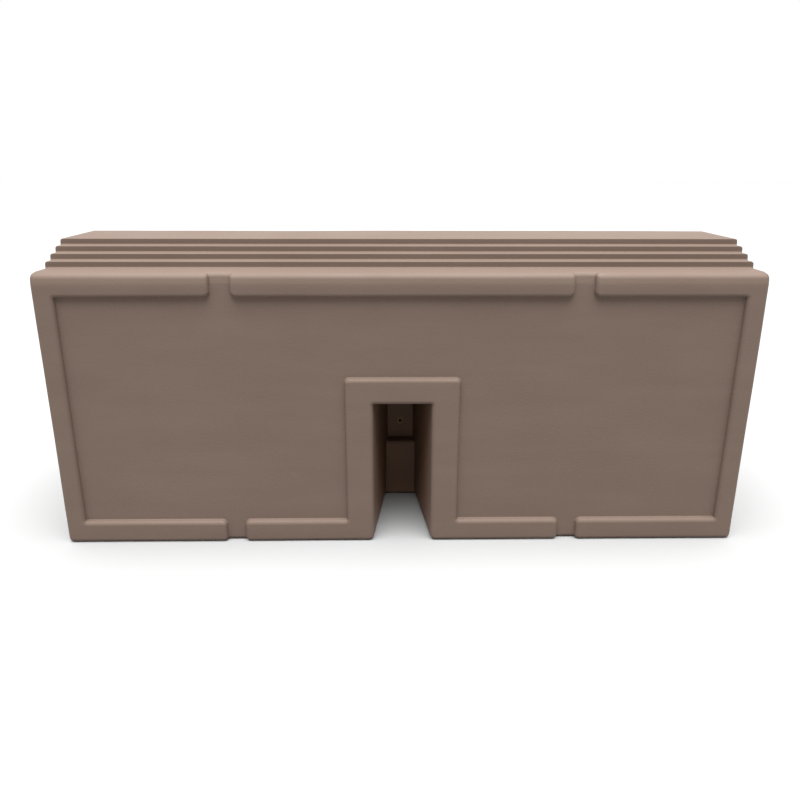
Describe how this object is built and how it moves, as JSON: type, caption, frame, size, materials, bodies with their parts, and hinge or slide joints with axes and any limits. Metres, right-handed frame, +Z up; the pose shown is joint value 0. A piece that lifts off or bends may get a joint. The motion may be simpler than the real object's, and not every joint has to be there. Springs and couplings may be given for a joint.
{
  "type": "water filled barrier",
  "caption": "Hollow moulded plastic barrier block with a stepped top, raised face borders, a base notch, a screw fill cap and a screw drain plug on tethers, and end inserts for linking.",
  "frame": {"origin": "on the floor under the centre of the block, at the bottom centre of its bounding box", "axes": "+X along the block's length, to the right seen from the front; -Y out of the front face, the one with the deep notch; +Z up"},
  "size_m": [1.83, 0.63, 0.8],
  "materials": {
    "moulded_shell": "matte moulded polyethylene, taupe brown",
    "fitting": "satin injection moulded polyethylene, darker brown",
    "cap": "satin glass-filled nylon, near black",
    "gasket": "EPDM rubber",
    "tether": "flexible elastomer",
    "screw": "stainless steel",
    "insert": "turned brass"
  },
  "bodies": {
    "block": {"barrier_shell": "moulded_shell", "fill_port_collar": "fitting", "drain_port_collar": "fitting", "fill_tether_screw": "screw", "drain_tether_screw": "screw", "left_link_inserts": "insert", "right_link_inserts": "insert", "pocket_anchor_insert": "insert"},
    "fill_seal": {"fill_cap_gasket": "gasket", "fill_cap_tether": "tether"},
    "fill_cap": {"fill_cap": "cap"},
    "drain_seal": {"drain_plug_gasket": "gasket", "drain_plug_tether": "tether"},
    "drain_plug": {"drain_plug": "cap"}
  },
  "joints": [
    {"name": "fill_cap_rise", "type": "slide", "parent": "block", "child": "fill_seal", "axis": [0, 0, 1], "range_m": [0, 0.015], "deforming": ["fill_cap_tether"]},
    {"name": "fill_cap_turn", "type": "hinge", "parent": "fill_seal", "child": "fill_cap", "pos_m": [0, 0.268, 0.76], "axis": [0, 0, 1], "range_deg": [0, 1080]},
    {"name": "drain_plug_draw", "type": "slide", "parent": "block", "child": "drain_seal", "axis": [0, 1, 0], "range_m": [0, 0.012], "deforming": ["drain_plug_tether"]},
    {"name": "drain_plug_turn", "type": "hinge", "parent": "drain_seal", "child": "drain_plug", "pos_m": [0, 0.12, 0.042], "axis": [0, 1, 0], "range_deg": [0, 720]}
  ],
  "couplings": [
    {"joint": "fill_cap_rise", "follows": "fill_cap_turn", "m_per_rad": 0.00079577},
    {"joint": "drain_plug_draw", "follows": "drain_plug_turn", "m_per_rad": 0.00095493}
  ]
}
